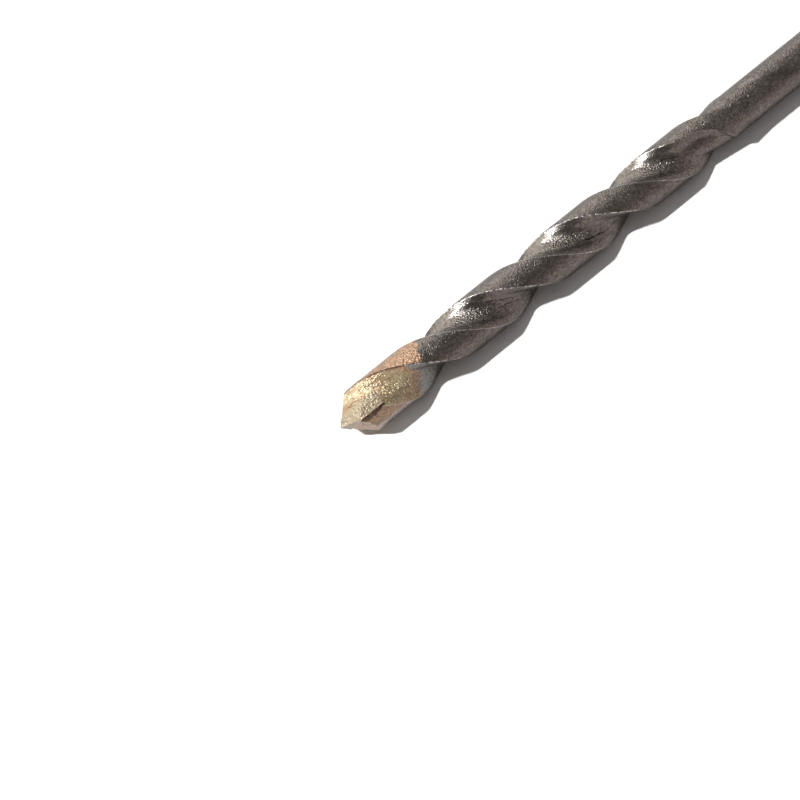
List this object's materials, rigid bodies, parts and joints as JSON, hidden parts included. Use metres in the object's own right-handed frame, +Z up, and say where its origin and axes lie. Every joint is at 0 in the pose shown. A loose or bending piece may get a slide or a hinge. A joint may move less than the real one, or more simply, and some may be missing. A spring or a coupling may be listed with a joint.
{
  "type": "masonry drill bit",
  "caption": "Masonry drill bit with a twisted fluted steel body, a brazed carbide tip plate and a plain round shank.",
  "frame": {"origin": "centre of the bounding box at its base, on the surface that the bit lies on, half way along the bit", "axes": "+X along the axis towards the end of the shank, so the point is at -X; +Z up, away from the surface; +Y to the left when looking along +X"},
  "size_m": [0.12, 0.0076, 0.0076],
  "materials": {
    "steel": "blasted, dark grey-brown, worn bright on the edges",
    "carbide": "ground, dull grey under a thin brass-coloured film",
    "braze": "matt, uneven as it ran"
  },
  "bodies": {
    "root": {"body": "steel", "carbide_tip": "carbide", "braze_layer": "braze"}
  },
  "joints": []
}
